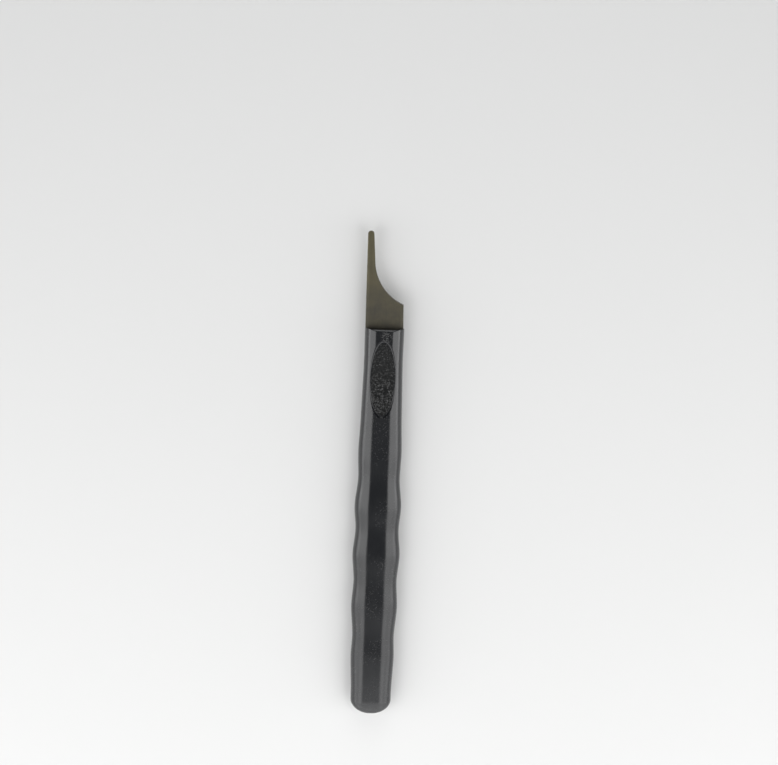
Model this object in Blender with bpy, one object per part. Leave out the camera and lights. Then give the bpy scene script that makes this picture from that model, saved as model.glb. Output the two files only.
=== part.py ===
"""A deburring tool: a hooked steel scraping blade with a black plastic handle moulded round its tang.

The tool lies on its back. X runs across it, Y runs from the butt to the blade's tip, and Z points up
out of its front face. The origin lies in the plane that the tool rests on, under the handle's axis
and half way along the tool.
"""
import math

import bmesh
import bpy
from mathutils import Vector

MM = 0.001

# Whole tool
TOOL_LENGTH = 150.0 * MM
SEAT_GAP = 0.3 * MM
OVERRUN = 1.0 * MM

# Handle: a bar with a narrow flat on each broad face, elliptical sides and four finger swells
HANDLE_LENGTH = 120.6 * MM
HANDLE_WIDTH = 14.4 * MM
HANDLE_THICKNESS = 8.0 * MM
FLAT_WIDTH = 4.2 * MM
BUTT_DOME_LENGTH = 4.5 * MM
END_ROUND = 0.8 * MM

# Thumb recesses, one in each face
RECESS_FROM_END = 15.5 * MM
RECESS_LENGTH = 23.5 * MM
RECESS_WIDTH = 7.6 * MM
RECESS_WALL = 0.65 * MM
RECESS_DRAFT = 0.12 * MM
RECESS_DISH = 0.05 * MM

# Blade, in front of the handle's end
BLADE_THICKNESS = 2.0 * MM
SPINE_OFFSET = 5.87 * MM
SPINE_LEAN = 0.2 * MM
FLANK_OFFSET = 5.65 * MM
FLANK_LEAN = 0.2 * MM
HEEL_LENGTH = 7.3 * MM
HOOK_RADIUS = 14.6 * MM
FINGER_TIP_RADIUS = 0.95 * MM
FINGER_TAPER = math.radians(4.0)
EDGE_BREAK = 0.15 * MM

# Tang, inside the handle
TANG_WIDTH = 7.8 * MM
TANG_LENGTH = 27.0 * MM
TANG_CORNER_RADIUS = 1.2 * MM
TANG_ROOT_RADIUS = 0.4 * MM
ANCHOR_RADIUS = 1.5 * MM
ANCHOR_FROM_END = 8.0 * MM
ANCHOR_PITCH = 11.0 * MM
NOTCH_RADIUS = 0.9 * MM

# The handle's form from butt to end: place along it, width and thickness there
HANDLE_FORM_SHARES = (
    (0.000, 0.858, 0.905),
    (0.066, 0.862, 0.945),
    (0.100, 0.887, 0.965),
    (0.153, 0.919, 0.985),
    (0.202, 0.887, 0.955),
    (0.284, 0.975, 1.000),
    (0.348, 0.915, 0.955),
    (0.417, 1.000, 1.000),
    (0.483, 0.915, 0.955),
    (0.542, 0.985, 1.000),
    (0.617, 0.880, 0.945),
    (0.682, 0.915, 1.000),
    (0.755, 0.872, 1.000),
    (0.833, 0.841, 1.000),
    (0.920, 0.813, 1.000),
    (1.000, 0.823, 1.000),
)
DISH_RING_SHARES = (0.75, 0.5, 0.25)

# Facets
DOME_RINGS = 8
GRIP_RINGS = 78
END_RINGS = 5
SIDE_STEPS = 18
RECESS_STEPS = 56
HOOK_STEPS = 28
TIP_STEPS = 10
CORNER_STEPS = 5
HOLE_STEPS = 28
SMOOTH_ANGLE = math.radians(35.0)


def make_material(name, color, metallic, roughness):
    """A plain Principled material of one colour."""
    material = bpy.data.materials.new(name)
    material.use_nodes = True
    shader = material.node_tree.nodes["Principled BSDF"]
    shader.inputs["Base Color"].default_value = (*color, 1.0)
    shader.inputs["Metallic"].default_value = metallic
    shader.inputs["Roughness"].default_value = roughness
    material.diffuse_color = (*color, 1.0)
    return material


def link_mesh(name, builder, parent, along):
    """Turn a bmesh into an object on the handle's axis, at a distance along it from the butt."""
    bmesh.ops.recalc_face_normals(builder, faces=builder.faces)
    mesh = bpy.data.meshes.new(name)
    builder.to_mesh(mesh)
    builder.free()
    item = bpy.data.objects.new(name, mesh)
    bpy.context.scene.collection.objects.link(item)
    item.parent = parent
    item.location = (0.0, along, 0.0)
    return item


def cut_with(item, cutter):
    """Cut one object out of another, and keep the cutter out of the model."""
    cutter.hide_render = True
    cutter.display_type = "WIRE"
    modifier = item.modifiers.new(cutter.name, "BOOLEAN")
    modifier.operation = "DIFFERENCE"
    modifier.solver = "EXACT"
    modifier.object = cutter


def shade(item, material):
    """Give an object its material and smooth its round faces."""
    item.data.materials.append(material)
    item.data.shade_smooth()
    item.data.set_sharp_from_angle(angle=SMOOTH_ANGLE)


def arc(center, radius, start, end, steps):
    """Points on an arc in the plane of the blade, both ends included."""
    turns = [start + (end - start) * step / steps for step in range(steps + 1)]
    return [center + radius * Vector((math.cos(turn), math.sin(turn))) for turn in turns]


def mirrored(points):
    """The same points on the other side of the axis, in the opposite order."""
    return [Vector((-point.x, point.y)) for point in reversed(points)]


# Handle


def station_slopes(places, values):
    """Slope of a smooth curve at each station, level wherever the values turn back."""
    rises = [(values[i + 1] - values[i]) / (places[i + 1] - places[i]) for i in range(len(places) - 1)]
    slopes = [0.0]
    for before, after in zip(rises, rises[1:]):
        turning = before * after <= 0.0
        slopes.append(0.0 if turning else 2.0 * before * after / (before + after))
    slopes.append(0.0)
    return slopes


def form_share(column, place):
    """Width (column 1) or thickness (column 2) share at a place share, on a smooth curve."""
    places = [row[0] for row in HANDLE_FORM_SHARES]
    values = [row[column] for row in HANDLE_FORM_SHARES]
    slopes = station_slopes(places, values)
    index = max(i for i in range(len(places) - 1) if places[i] <= place)
    span = places[index + 1] - places[index]
    t = (place - places[index]) / span
    return (
        values[index] * (1.0 + 2.0 * t) * (1.0 - t) ** 2
        + values[index + 1] * t ** 2 * (3.0 - 2.0 * t)
        + slopes[index] * span * t * (1.0 - t) ** 2
        - slopes[index + 1] * span * t ** 2 * (1.0 - t)
    )


def handle_section(along, height_limit):
    """One section of the handle: two flats joined by half ellipses, no higher than a limit."""
    place = along / HANDLE_LENGTH
    depth = max(0.0, BUTT_DOME_LENGTH - along) / BUTT_DOME_LENGTH
    dome = math.sqrt(1.0 - depth ** 2)
    half_width = dome * form_share(1, place) * HANDLE_WIDTH / 2.0
    half_thickness = dome * form_share(2, place) * HANDLE_THICKNESS / 2.0
    flat = dome * FLAT_WIDTH / 2.0
    bulge = half_width - flat
    points = []
    for side, first in ((1.0, -math.pi / 2.0), (-1.0, math.pi / 2.0)):
        for step in range(SIDE_STEPS + 1):
            turn = first + math.pi * step / SIDE_STEPS
            height = half_thickness * math.sin(turn)
            height = max(-height_limit, min(height_limit, height))
            points.append(Vector((side * flat + bulge * math.cos(turn), along, height)))
    return points


def handle_stations():
    """Every section's distance from the butt, with its height limit at the rounded far end."""
    full_height = HANDLE_THICKNESS / 2.0
    stations = []
    for ring in range(1, DOME_RINGS):
        turn = math.pi / 2.0 * ring / DOME_RINGS
        stations.append((BUTT_DOME_LENGTH * (1.0 - math.cos(turn)), full_height))
    grip_length = HANDLE_LENGTH - END_ROUND - BUTT_DOME_LENGTH
    for ring in range(GRIP_RINGS + 1):
        stations.append((BUTT_DOME_LENGTH + grip_length * ring / GRIP_RINGS, full_height))
    for ring in range(1, END_RINGS + 1):
        turn = math.pi / 2.0 * ring / END_RINGS
        along = HANDLE_LENGTH - END_ROUND * (1.0 - math.sin(turn))
        stations.append((along, full_height - END_ROUND * (1.0 - math.cos(turn))))
    return stations


def handle_body(parent):
    """The moulded bar, from its domed butt to the flat end that the blade's shoulders sit on."""
    builder = bmesh.new()
    rings = []
    for along, height_limit in handle_stations():
        rings.append([builder.verts.new(point) for point in handle_section(along, height_limit)])
    pole = builder.verts.new((0.0, 0.0, 0.0))
    count = len(rings[0])
    for i in range(count):
        builder.faces.new((pole, rings[0][(i + 1) % count], rings[0][i]))
    for lower, upper in zip(rings, rings[1:]):
        for i in range(count):
            following = (i + 1) % count
            builder.faces.new((lower[i], lower[following], upper[following], upper[i]))
    builder.faces.new(rings[-1])
    return link_mesh("handle", builder, parent, 0.0)


def ellipse_ring(builder, share, spread, height):
    """One ring of the recess cutter, as a share of the recess's oval, spread outwards evenly."""
    half_width = share * RECESS_WIDTH / 2.0 + spread
    half_length = share * RECESS_LENGTH / 2.0 + spread
    turns = [2.0 * math.pi * step / RECESS_STEPS for step in range(RECESS_STEPS)]
    return [
        builder.verts.new((half_width * math.cos(turn), half_length * math.sin(turn), height))
        for turn in turns
    ]


def recess_plug(builder, face):
    """The shape of one thumb recess, for the front face (1) or the back face (-1)."""
    surface = HANDLE_THICKNESS / 2.0
    floor = surface - RECESS_WALL
    top_spread = RECESS_DRAFT * (OVERRUN + RECESS_WALL) / RECESS_WALL
    rings = [
        ellipse_ring(builder, 1.0, top_spread, face * (surface + OVERRUN)),
        ellipse_ring(builder, 1.0, 0.0, face * floor),
    ]
    for share in DISH_RING_SHARES:
        depth = RECESS_DISH * (1.0 - share ** 2)
        rings.append(ellipse_ring(builder, share, 0.0, face * (floor - depth)))
    bottom = builder.verts.new((0.0, 0.0, face * (floor - RECESS_DISH)))
    builder.faces.new(rings[0])
    for upper, lower in zip(rings, rings[1:]):
        for i in range(RECESS_STEPS):
            following = (i + 1) % RECESS_STEPS
            builder.faces.new((upper[i], upper[following], lower[following], lower[i]))
    for i in range(RECESS_STEPS):
        builder.faces.new((rings[-1][i], rings[-1][(i + 1) % RECESS_STEPS], bottom))


def recess_cutter(parent):
    """Both thumb recesses, one in each face of the neck."""
    builder = bmesh.new()
    for face in (1.0, -1.0):
        recess_plug(builder, face)
    return link_mesh("recess_cutter", builder, parent, HANDLE_LENGTH - RECESS_FROM_END)


# Tang and its socket, measured from the handle's end


def anchor_centers():
    """Centres of the holes in the tang, along the axis."""
    return [Vector((0.0, -ANCHOR_FROM_END)), Vector((0.0, -ANCHOR_FROM_END - ANCHOR_PITCH))]


def tang_side(grow):
    """Right wall of the tang from its end up past the notch, moved out by grow."""
    wall = TANG_WIDTH / 2.0
    corner = TANG_CORNER_RADIUS + grow
    corner_center = Vector((wall + grow - corner, corner - grow - TANG_LENGTH))
    notch = NOTCH_RADIUS - grow
    notch_center = Vector((wall, -ANCHOR_FROM_END - ANCHOR_PITCH / 2.0))
    bite = math.acos(grow / notch)
    return (
        arc(corner_center, corner, -math.pi / 2.0, 0.0, CORNER_STEPS)
        + arc(notch_center, notch, 2.0 * math.pi - bite, bite, 2 * CORNER_STEPS)
    )


def plate(outline, thickness, softened=()):
    """A flat plate centred on the blade's plane; softened lists the outline's edges to be eased."""
    builder = bmesh.new()
    lower = [builder.verts.new((point.x, point.y, -thickness / 2.0)) for point in outline]
    upper = [builder.verts.new((point.x, point.y, thickness / 2.0)) for point in outline]
    builder.faces.new(lower)
    builder.faces.new(upper)
    for i in range(len(outline)):
        following = (i + 1) % len(outline)
        builder.faces.new((lower[i], lower[following], upper[following], upper[i]))
    weight = builder.edges.layers.float.new("bevel_weight_edge")
    for i in softened:
        for rim in (lower, upper):
            builder.edges.get((rim[i], rim[(i + 1) % len(outline)]))[weight] = 1.0
    return builder


def anchor_cutter(name, radius, parent):
    """Round bars across the tang: the holes in it, or the posts that pass through them."""
    builder = bmesh.new()
    reach = BLADE_THICKNESS / 2.0 + SEAT_GAP + OVERRUN
    for center in anchor_centers():
        circle = arc(center, radius, 0.0, 2.0 * math.pi, HOLE_STEPS)[:-1]
        lower = [builder.verts.new((point.x, point.y, -reach)) for point in circle]
        upper = [builder.verts.new((point.x, point.y, reach)) for point in circle]
        builder.faces.new(lower)
        builder.faces.new(upper)
        for i in range(HOLE_STEPS):
            following = (i + 1) % HOLE_STEPS
            builder.faces.new((lower[i], lower[following], upper[following], upper[i]))
    return link_mesh(name, builder, parent, HANDLE_LENGTH)


def socket_cutter(parent):
    """The space round the tang, less the posts of plastic that fill its anchor holes."""
    side = tang_side(SEAT_GAP) + [Vector((TANG_WIDTH / 2.0 + SEAT_GAP, OVERRUN))]
    builder = plate(side + mirrored(side), BLADE_THICKNESS + 2.0 * SEAT_GAP)
    cutter = link_mesh("socket_cutter", builder, parent, HANDLE_LENGTH)
    cut_with(cutter, anchor_cutter("post_cutter", ANCHOR_RADIUS - SEAT_GAP, parent))
    return cutter


# Blade, measured from the handle's end


def finger_tip():
    """The round tip, from the finger's inner edge over the end to the blade's straight back."""
    exposed = TOOL_LENGTH - HANDLE_LENGTH
    lean = math.atan2(SPINE_LEAN, exposed)
    center_along = exposed - FINGER_TIP_RADIUS
    slide = (center_along - SEAT_GAP - FINGER_TIP_RADIUS * math.sin(lean)) / math.cos(lean)
    across = FINGER_TIP_RADIUS * math.cos(lean) - slide * math.sin(lean) - SPINE_OFFSET
    return arc(Vector((across, center_along)), FINGER_TIP_RADIUS, FINGER_TAPER, math.pi + lean, TIP_STEPS)


def hook_curve(heel, finger_point):
    """The concave edge from the heel's corner to where it runs smoothly into the finger's inner edge."""
    outward = Vector((math.cos(FINGER_TAPER), math.sin(FINGER_TAPER)))
    up = Vector((-math.sin(FINGER_TAPER), math.cos(FINGER_TAPER)))
    start = finger_point + outward * HOOK_RADIUS
    behind = (start - heel).dot(up)
    missing = (start - heel).length_squared - HOOK_RADIUS ** 2
    center = start + up * (math.sqrt(behind ** 2 - missing) - behind)
    heel_turn = math.atan2(heel.y - center.y, heel.x - center.x) + 2.0 * math.pi
    return arc(center, HOOK_RADIUS, heel_turn, math.pi + FINGER_TAPER, HOOK_STEPS)


def blade_outline():
    """The blade's edge, anticlockwise from the tang's end, with the edges that are eased."""
    root_center = Vector((TANG_WIDTH / 2.0 + TANG_ROOT_RADIUS, SEAT_GAP - TANG_ROOT_RADIUS))
    tang = tang_side(0.0) + arc(root_center, TANG_ROOT_RADIUS, math.pi, math.pi / 2.0, CORNER_STEPS)
    shoulder = [Vector((FLANK_OFFSET, SEAT_GAP))]
    tip = finger_tip()
    hook = hook_curve(Vector((FLANK_OFFSET - FLANK_LEAN, HEEL_LENGTH)), tip[0])
    back = [Vector((-SPINE_OFFSET, SEAT_GAP))]
    flank_start = len(tang)
    tip_start = flank_start + len(shoulder) + len(hook)
    softened = [flank_start, *range(tip_start, tip_start + len(tip))]
    return tang + shoulder + hook + tip + back + mirrored(tang), softened


def blade_plate(parent):
    """The hardened plate: tang, shoulders, heel, hooked scraping edge and finger."""
    outline, softened = blade_outline()
    blade = link_mesh("blade", plate(outline, BLADE_THICKNESS, softened), parent, HANDLE_LENGTH)
    easing = blade.modifiers.new("eased_edges", "BEVEL")
    easing.limit_method = "WEIGHT"
    easing.width = EDGE_BREAK
    easing.segments = 1
    cut_with(blade, anchor_cutter("anchor_hole_cutter", ANCHOR_RADIUS, parent))
    return blade


def main():
    """Build the tool in an empty scene."""
    for item in list(bpy.data.objects):
        bpy.data.objects.remove(item, do_unlink=True)
    tool = bpy.data.objects.new("tool_axis", None)
    bpy.context.scene.collection.objects.link(tool)
    tool.location = (0.0, -TOOL_LENGTH / 2.0, HANDLE_THICKNESS / 2.0)
    plastic = make_material("black_plastic", (0.022, 0.023, 0.026), 0.0, 0.32)
    steel = make_material("blackened_steel", (0.075, 0.068, 0.052), 0.7, 0.5)
    handle = handle_body(tool)
    cut_with(handle, recess_cutter(tool))
    cut_with(handle, socket_cutter(tool))
    shade(handle, plastic)
    shade(blade_plate(tool), steel)


main()
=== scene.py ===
"""Dresses the deburring tool's frame with its finished surfaces and sets it in a plain studio.

The tool lies on its back. X runs across it, Y from the butt to the blade's tip and Z out of its face.
Lengths are in metres and angles in radians, except the soft boxes' angles, which are in degrees.
"Along" is a distance from the butt end on the tool's own axis.
"""

import logging
import math
from collections.abc import Iterable, Sequence
from dataclasses import dataclass
from enum import Enum

import bmesh
import bpy
from bmesh.types import BMesh, BMVert
from bpy.types import Material, Mesh, Node, NodeSocket, NodeTree, Object
from mathutils import Matrix, Vector


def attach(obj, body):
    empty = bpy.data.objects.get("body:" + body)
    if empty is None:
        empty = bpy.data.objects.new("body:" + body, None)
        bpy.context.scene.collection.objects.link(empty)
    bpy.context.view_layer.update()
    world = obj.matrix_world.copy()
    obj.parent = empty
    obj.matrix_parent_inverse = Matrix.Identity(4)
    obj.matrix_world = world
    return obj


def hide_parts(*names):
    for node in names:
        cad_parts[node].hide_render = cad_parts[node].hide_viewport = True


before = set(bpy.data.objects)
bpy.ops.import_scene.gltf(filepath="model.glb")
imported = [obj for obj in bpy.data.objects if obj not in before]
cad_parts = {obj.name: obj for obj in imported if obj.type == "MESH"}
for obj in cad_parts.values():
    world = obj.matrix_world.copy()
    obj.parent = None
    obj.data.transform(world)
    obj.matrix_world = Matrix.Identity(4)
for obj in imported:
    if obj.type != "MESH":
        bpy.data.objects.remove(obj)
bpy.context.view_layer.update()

LOG = logging.getLogger("deburring_tool")
MM = 0.001
BODY = "root"
PLASTIC_IOR = 1.59

Inputs = dict[str | int, object]
Color = tuple[float, float, float, float]
Triple = tuple[float, float, float]
Pair = tuple[float, float]


class Face(Enum):
    """The two broad faces of the tool."""

    FRONT = 1.0
    BACK = -1.0


class Slot(Enum):
    """The record's material slots."""

    STEEL = "blade_steel"
    PLASTIC = "handle_plastic"


# Node trees


class Value:
    """What a node gives, which formulas take as if it were a plain number."""

    def __init__(self, tree: "TreeBuilder", socket: NodeSocket) -> None:
        """Keep an output socket with its tree."""
        self.tree, self.socket = tree, socket

    def __add__(self, other: object) -> "Value":
        """Add another value or a number."""
        return self.tree.math("ADD", self, other)

    def __sub__(self, other: object) -> "Value":
        """Take another value or a number away."""
        return self.tree.math("SUBTRACT", self, other)

    def __rsub__(self, other: float) -> "Value":
        """Take this away from a number."""
        return self.tree.math("SUBTRACT", other, self)

    def __mul__(self, other: object) -> "Value":
        """Multiply by another value or a number."""
        return self.tree.math("MULTIPLY", self, other)

    def __truediv__(self, other: object) -> "Value":
        """Divide by another value or a number."""
        return self.tree.math("DIVIDE", self, other)

    def __rtruediv__(self, other: float) -> "Value":
        """Divide a number by this."""
        return self.tree.math("DIVIDE", other, self)

    def __pow__(self, power: float) -> "Value":
        """Raise to a power."""
        return self.tree.math("POWER", self, power)


class TreeBuilder:
    """Adds nodes to a tree and joins them, so that a tree reads as a list of steps."""

    def __init__(self, tree: NodeTree) -> None:
        """Start work on a shader or geometry node tree."""
        self.tree = tree

    def feed(self, node: Node, inputs: Inputs) -> None:
        """Feed a node's inputs, each with a link or a constant.

        Args:
            node: The node.
            inputs: Input names or numbers with what feeds them.
        """
        for name, value in inputs.items():
            if isinstance(value, Value):
                self.tree.links.new(value.socket, node.inputs[name])
            else:
                node.inputs[name].default_value = value

    def add(self, kind: str, inputs: Inputs | None = None, **settings: object) -> list[Value]:
        """Add one node.

        Args:
            kind: The node's Blender type name.
            inputs: What feeds its inputs.
            settings: Properties of the node itself.

        Returns:
            Its outputs in order.
        """
        node = self.tree.nodes.new(kind)
        for name, value in settings.items():
            setattr(node, name, value)
        self.feed(node, inputs or {})
        return [Value(self, output) for output in node.outputs if not output.is_unavailable]

    def math(self, operation: str, *values: object) -> Value:
        """Work on numbers or values with the math operation of that name."""
        return self.add("ShaderNodeMath", dict(enumerate(values)), operation=operation)[0]

    def vector_math(self, operation: str, *values: object) -> Value:
        """Work on vectors with the vector operation of that name."""
        return self.add("ShaderNodeVectorMath", dict(enumerate(values)), operation=operation)[0]

    def ramp(
        self, value: Value, start: object, end: object, low: float = 0.0, high: float = 1.0
    ) -> Value:
        """Map the values from start to end onto low to high in a straight line, held at both ends."""
        inputs = {"Value": value, "From Min": start, "From Max": end, "To Min": low, "To Max": high}
        return self.add("ShaderNodeMapRange", inputs, clamp=True)[0]

    def vector(self, x: object, y: object, z: object) -> Value:
        """Join three numbers into a vector."""
        return self.add("ShaderNodeCombineXYZ", {"X": x, "Y": y, "Z": z})[0]

    def split(self, vector: Value) -> list[Value]:
        """Take a vector apart into its three numbers."""
        return self.add("ShaderNodeSeparateXYZ", {0: vector})


class ShaderTree(TreeBuilder):
    """The tree of a new material, which follows the piece's object coordinates."""

    def __init__(self, name: str) -> None:
        """Start a material.

        Args:
            name: The material's name.
        """
        self.material = bpy.data.materials.new(name)
        self.material.use_nodes = True
        super().__init__(self.material.node_tree)
        self.shader = self.tree.nodes["Principled BSDF"]
        self.place = Value(self, self.tree.nodes.new("ShaderNodeTexCoord").outputs["Object"])

    def noise(self, scale: float, detail: float, place: Value | None = None) -> Value:
        """Soft random variation.

        Args:
            scale: How many features there are to a metre.
            detail: How many finer octaves it has.
            place: The coordinates that it follows, if not the object's.

        Returns:
            A number from 0 to 1.
        """
        inputs = {"Vector": place or self.place, "Scale": scale, "Detail": detail, "Roughness": 0.55}
        return self.add("ShaderNodeTexNoise", inputs)[0]

    def blend(self, share: Value, first: Color | Value, second: Color) -> Value:
        """Blend two colours, the second one by its share."""
        inputs = {"Factor": share, "A": first, "B": second}
        return self.add("ShaderNodeMix", inputs, data_type="RGBA")[0]

    def finish(self, inputs: Inputs, pattern: Value, depth: float) -> Material:
        """Feed the shader and roughen its surface.

        Args:
            inputs: What feeds the shader's inputs.
            pattern: The bumps, from 0 to 1.
            depth: How deep they are.

        Returns:
            The finished material.
        """
        bumps = {"Height": pattern, "Distance": depth, "Strength": 1.0}
        self.feed(self.shader, inputs | {"Normal": self.add("ShaderNodeBump", bumps)[0]})
        return self.material


class GeometryTree(TreeBuilder):
    """A geometry node tree with named inputs, which turns a seed mesh into a plain finished mesh."""

    def __init__(self, name: str) -> None:
        """Start an empty tree.

        Args:
            name: The name of the piece that it makes.
        """
        group = bpy.data.node_groups.new(name, "GeometryNodeTree")
        for side in ("OUTPUT", "INPUT"):
            group.interface.new_socket(name="Geometry", in_out=side, socket_type="NodeSocketGeometry")
        super().__init__(group)
        self.name = name
        self.entry = group.nodes.new("NodeGroupInput")
        self.seed = Value(self, self.entry.outputs["Geometry"])
        self.sizes: dict[str, object] = {}

    def size(self, name: str, value: object, kind: str = "NodeSocketFloat") -> Value:
        """Add a named input.

        Args:
            name: The input's name.
            value: What the finished piece is made with.
            kind: The socket's Blender type name.

        Returns:
            What carries the input inside the tree.
        """
        item = self.tree.interface.new_socket(name=name, in_out="INPUT", socket_type=kind)
        self.sizes[item.identifier] = value
        return Value(self, self.entry.outputs[name])

    def make(self, seed: Mesh, shape: Value, material: Material) -> Object:
        """End the tree with real geometry in one material, run it and keep the plain mesh.

        Args:
            seed: The mesh that the tree starts from.
            shape: The finished shape.
            material: Its finish.

        Returns:
            The piece, with no modifier left on it.
        """
        coat = self.size("Finish", material, "NodeSocketMaterial")
        real = self.add("GeometryNodeRealizeInstances", {"Geometry": shape})[0]
        coated = self.add("GeometryNodeSetMaterial", {"Geometry": real, "Material": coat})[0]
        self.feed(self.tree.nodes.new("NodeGroupOutput"), {"Geometry": coated})
        piece = put_in_scene(self.name, seed)
        modifier = piece.modifiers.new(self.name, "NODES")
        modifier.node_group = self.tree
        for identifier, value in self.sizes.items():
            modifier[identifier] = value
        return flatten(piece)


# Object and mesh helpers


def put_in_scene(name: str, data: bpy.types.ID) -> Object:
    """Make an object at the origin of the scene.

    Args:
        name: The object's name.
        data: The mesh, light or camera that it shows.

    Returns:
        The new object.
    """
    thing = bpy.data.objects.new(name, data)
    bpy.context.scene.collection.objects.link(thing)
    return thing


def flatten(piece: Object) -> Object:
    """Turn a piece with its modifiers into a plain mesh.

    Args:
        piece: The piece, which keeps its name.

    Returns:
        The same object with a new mesh and no modifiers.
    """
    depsgraph = bpy.context.evaluated_depsgraph_get()
    mesh = bpy.data.meshes.new_from_object(piece.evaluated_get(depsgraph), depsgraph=depsgraph)
    piece.modifiers.clear()
    piece.data = mesh
    mesh.name = piece.name
    return piece


def object_from(name: str, builder: BMesh) -> Object:
    """Turn a bmesh into an object at the origin, its faces pointing out.

    Args:
        name: The object's name.
        builder: The shape, which is used up.

    Returns:
        The new object.
    """
    bmesh.ops.recalc_face_normals(builder, faces=builder.faces)
    mesh = bpy.data.meshes.new(name)
    builder.to_mesh(mesh)
    builder.free()
    return put_in_scene(name, mesh)


def polyline(name: str, points: Sequence[Vector]) -> Mesh:
    """A mesh of one open line.

    Args:
        name: The mesh's name.
        points: The line's points in order.

    Returns:
        The mesh.
    """
    mesh = bpy.data.meshes.new(name)
    mesh.from_pydata(points, [(i, i + 1) for i in range(len(points) - 1)], [])
    return mesh


def subtract(piece: Object, cutter: Object) -> Object:
    """Cut one object out of another for good, and delete the cutter.

    Args:
        piece: The object that is cut.
        cutter: The shape that is taken away.

    Returns:
        The cut piece.
    """
    modifier = piece.modifiers.new("cut", "BOOLEAN")
    modifier.operation = "DIFFERENCE"
    modifier.solver = "EXACT"
    modifier.object = cutter
    flatten(piece)
    bpy.data.objects.remove(cutter, do_unlink=True)
    return piece


def shade(piece: Object, sharp_angle: float) -> None:
    """Smooth a piece's round faces and keep the edges sharp that turn more than an angle."""
    piece.data.shade_smooth()
    piece.data.set_sharp_from_angle(angle=sharp_angle)


def paint(piece: Object, material: Material) -> None:
    """Give a whole piece one material."""
    piece.data.materials.clear()
    piece.data.materials.append(material)


def bridge(builder: BMesh, inner: Sequence[BMVert], outer: Sequence[BMVert]) -> None:
    """Join two rings of as many points with a band of faces.

    Args:
        builder: The shape that is added to.
        inner: One ring's points in order.
        outer: The other's.
    """
    for i, start in enumerate(inner):
        following = (i + 1) % len(inner)
        builder.faces.new((start, outer[i], outer[following], inner[following]))


def quarter_turn(steps: int, more: int = 0) -> list[float]:
    """Angles from 0 in as many equal steps to a right angle, which itself is one more."""
    return [math.pi / 2.0 * step / steps for step in range(steps + more)]


def arc(center: Vector, radius: float, start: float, end: float, steps: int) -> list[Vector]:
    """Points on an arc from one angle to another, both ends included."""
    turns = [start + (end - start) * step / steps for step in range(steps + 1)]
    return [center + radius * Vector((math.cos(turn), math.sin(turn))) for turn in turns]


def mirrored(points: Iterable[Vector]) -> list[Vector]:
    """The same points on the other side of the axis, in the opposite order."""
    return [Vector((-point.x, point.y)) for point in reversed(list(points))]


# Finishes


@dataclass(frozen=True)
class BlackPlastic:
    """Semi-gloss black moulded plastic with fine handling marks."""

    color: Color = (0.0088, 0.0094, 0.0108, 1.0)
    dust_color: Color = (0.048, 0.048, 0.047, 1.0)  # of the marks
    roughness: float = 0.175
    haze_scale: float = 90.0
    haze_edge: Pair = (0.35, 0.65)
    haze_roughness: float = 0.06  # added where it is handled most
    mark_roughness: float = 0.3  # added by the marks
    butt_roughness: float = 0.055  # added to the whole butt
    butt_along: Pair = (-50.0 * MM, -66.0 * MM)  # where that starts and is all there, on Y
    mark_edge: Pair = (0.42, 0.6)  # of the hazy places that hold marks
    mark_strength: float = 0.5
    scratch_turns: tuple[float, ...] = (0.12, -0.6, 1.15)  # off the tool's axis
    scratch_size: Triple = (0.16 * MM, 0.9 * MM, 0.64 * MM)  # width, length and depth
    scratch_edge: Pair = (0.76, 0.82)
    speck_size: float = 1.1 * MM  # between the places where a speck may sit
    speck_rarity: float = 0.7  # share of those places that stay bare
    speck_edge: Pair = (0.12, 0.06)
    scuff_center: Triple = (0.7 * MM, 43.4 * MM, 8.0 * MM)  # on the front of the neck
    scuff_reach: Pair = (2.2 * MM, 0.88 * MM)  # where the scuffs start and are all there
    scuff_scale: float = 2800.0
    scuff_edge: Pair = (0.44, 0.6)
    peel_scale: float = 2600.0  # of the moulding's faint orange peel
    peel_depth: float = 0.003 * MM

    def material(self) -> Material:
        """Build the material.

        Returns:
            A procedural material on object coordinates.
        """
        tree = ShaderTree("black_plastic")
        haze = tree.noise(self.haze_scale, 3.0)
        marks = self.marks(tree, haze)
        rough = tree.ramp(haze, *self.haze_edge) * self.haze_roughness + self.roughness
        rough += tree.ramp(tree.split(tree.place)[1], *self.butt_along, 0.0, self.butt_roughness)
        surface = {
            "Base Color": tree.blend(marks, self.color, self.dust_color),
            "Roughness": marks * self.mark_roughness + rough,
            "IOR": PLASTIC_IOR,
        }
        return tree.finish(surface, tree.noise(self.peel_scale, 1.0), self.peel_depth)

    def marks(self, tree: ShaderTree, haze: Value) -> Value:
        """Specks and short straight scratches in the hazy places, and a scuffed patch on the neck.

        Args:
            tree: The material's tree.
            haze: How hazy a point is, from 0 to 1.

        Returns:
            How marked a point is, from 0 to 1.
        """
        inputs = {"Vector": tree.place, "Scale": 1.0 / self.speck_size}
        distance, tone, _ = tree.add("ShaderNodeTexVoronoi", inputs)
        chosen = tree.math("GREATER_THAN", tree.split(tone)[0], self.speck_rarity)
        marks = chosen * tree.ramp(distance, *self.speck_edge)
        for turn in self.scratch_turns:
            inputs = {"Vector": tree.place, "Rotation": (0.0, 0.0, turn), "Scale": self.scratch_size}
            laid = tree.add("ShaderNodeMapping", inputs, vector_type="TEXTURE")[0]
            scratches = tree.ramp(tree.noise(1.0, 0.0, laid), *self.scratch_edge)
            marks = tree.math("MAXIMUM", marks, scratches)
        marks *= tree.ramp(haze, *self.mark_edge, 0.0, self.mark_strength)
        near = tree.ramp(tree.vector_math("DISTANCE", tree.place, self.scuff_center), *self.scuff_reach)
        scuffs = near * tree.ramp(tree.noise(self.scuff_scale, 1.0), *self.scuff_edge)
        return tree.math("MAXIMUM", marks, scuffs)


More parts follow.
